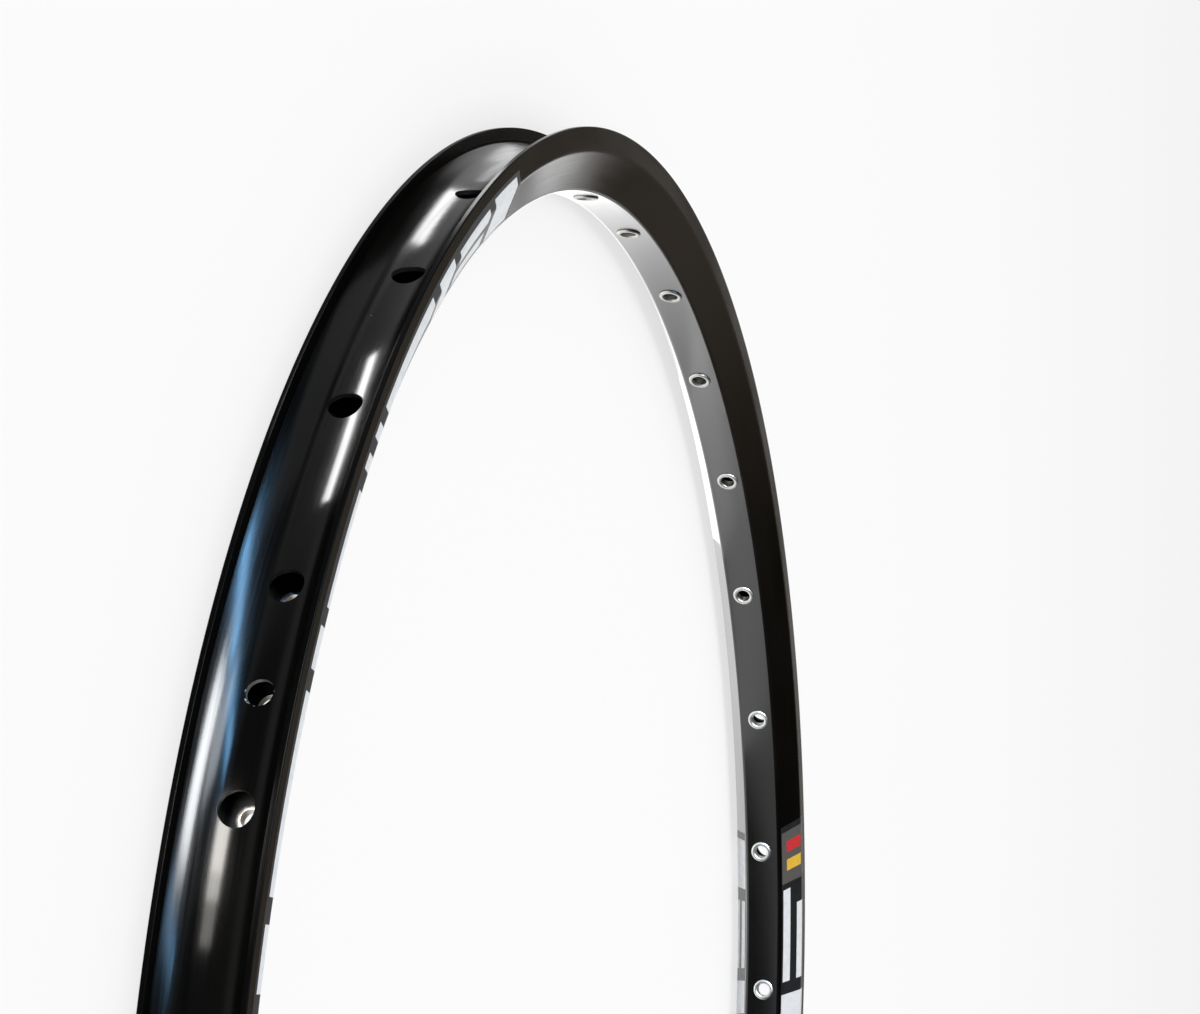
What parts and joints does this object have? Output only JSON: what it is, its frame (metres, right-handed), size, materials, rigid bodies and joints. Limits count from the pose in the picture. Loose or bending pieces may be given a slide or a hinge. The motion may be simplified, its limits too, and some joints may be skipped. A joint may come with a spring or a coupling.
{
  "type": "bicycle rim",
  "caption": "Bare double-wall bicycle rim with hooked flanges, a round tyre bed, staggered eyeletted spoke holes and a valve hole.",
  "frame": {"origin": "wheel centre, on the rim's middle plane", "axes": "+Z along the axle line, up from the side the rim lies on; the valve hole is at -Y and the seam at +Y"},
  "size_m": [0.571, 0.571, 0.0248],
  "materials": {
    "anodised_hoop": "black anodised, fine lengthwise grain, half gloss",
    "mill_sleeve": "bare mill finish",
    "eyelet_steel": "nickel plated, satin"
  },
  "bodies": {
    "root": {"rim_hoop": "anodised_hoop", "joint_sleeve": "mill_sleeve", "eyelet_01": "eyelet_steel", "eyelet_02": "eyelet_steel", "eyelet_03": "eyelet_steel", "eyelet_04": "eyelet_steel", "eyelet_05": "eyelet_steel", "eyelet_06": "eyelet_steel", "eyelet_07": "eyelet_steel", "eyelet_08": "eyelet_steel", "eyelet_09": "eyelet_steel", "eyelet_10": "eyelet_steel", "eyelet_11": "eyelet_steel", "eyelet_12": "eyelet_steel", "eyelet_13": "eyelet_steel", "eyelet_14": "eyelet_steel", "eyelet_15": "eyelet_steel", "eyelet_16": "eyelet_steel", "eyelet_17": "eyelet_steel", "eyelet_18": "eyelet_steel", "eyelet_19": "eyelet_steel", "eyelet_20": "eyelet_steel", "eyelet_21": "eyelet_steel", "eyelet_22": "eyelet_steel", "eyelet_23": "eyelet_steel", "eyelet_24": "eyelet_steel", "eyelet_25": "eyelet_steel", "eyelet_26": "eyelet_steel", "eyelet_27": "eyelet_steel", "eyelet_28": "eyelet_steel", "eyelet_29": "eyelet_steel", "eyelet_30": "eyelet_steel", "eyelet_31": "eyelet_steel", "eyelet_32": "eyelet_steel"}
  },
  "joints": []
}
